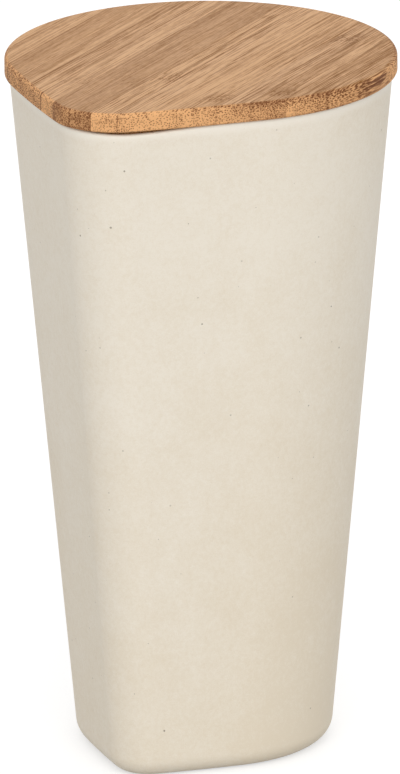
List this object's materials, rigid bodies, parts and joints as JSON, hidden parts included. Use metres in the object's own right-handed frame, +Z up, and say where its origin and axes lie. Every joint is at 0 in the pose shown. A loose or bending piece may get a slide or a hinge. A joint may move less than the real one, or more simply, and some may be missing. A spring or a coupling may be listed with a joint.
{
  "type": "storage canister",
  "caption": "Tall tapered dry-goods canister with a drop-shaped outline and a lift-off edge-glued bamboo lid whose grooved plug carries a silicone seal.",
  "frame": {"origin": "centre of the bounding box, on the table", "axes": "+Z up the canister; -Y towards the outline's soft corner, +Y towards its round back; +X to the right when the soft corner faces the viewer"},
  "size_m": [0.131, 0.1476, 0.238],
  "materials": {
    "moulded_body": "matt bamboo-fibre moulding, cream with fine fibre specks",
    "bamboo": "oiled caramel bamboo, edge-glued strips",
    "silicone": "translucent white silicone"
  },
  "bodies": {
    "canister": {"canister_body": "moulded_body"},
    "lid": {"lid_strip_01": "bamboo", "lid_strip_02": "bamboo", "lid_strip_03": "bamboo", "lid_strip_04": "bamboo", "lid_strip_05": "bamboo", "lid_strip_06": "bamboo", "lid_strip_07": "bamboo", "lid_strip_08": "bamboo", "lid_strip_09": "bamboo", "lid_strip_10": "bamboo", "lid_strip_11": "bamboo", "lid_strip_12": "bamboo", "lid_strip_13": "bamboo", "lid_strip_14": "bamboo", "lid_strip_15": "bamboo", "lid_strip_16": "bamboo", "plug_strip_01": "bamboo", "plug_strip_02": "bamboo", "plug_strip_03": "bamboo", "plug_strip_04": "bamboo", "plug_strip_05": "bamboo", "plug_strip_06": "bamboo", "plug_strip_07": "bamboo", "plug_strip_08": "bamboo", "plug_strip_09": "bamboo", "plug_strip_10": "bamboo", "plug_strip_11": "bamboo", "plug_strip_12": "bamboo", "plug_strip_13": "bamboo", "plug_strip_14": "bamboo", "seal_ring": "silicone"}
  },
  "joints": [
    {"name": "lid_lift", "type": "slide", "parent": "canister", "child": "lid", "axis": [0, 0, 1], "range_m": [0, 0.12]}
  ]
}
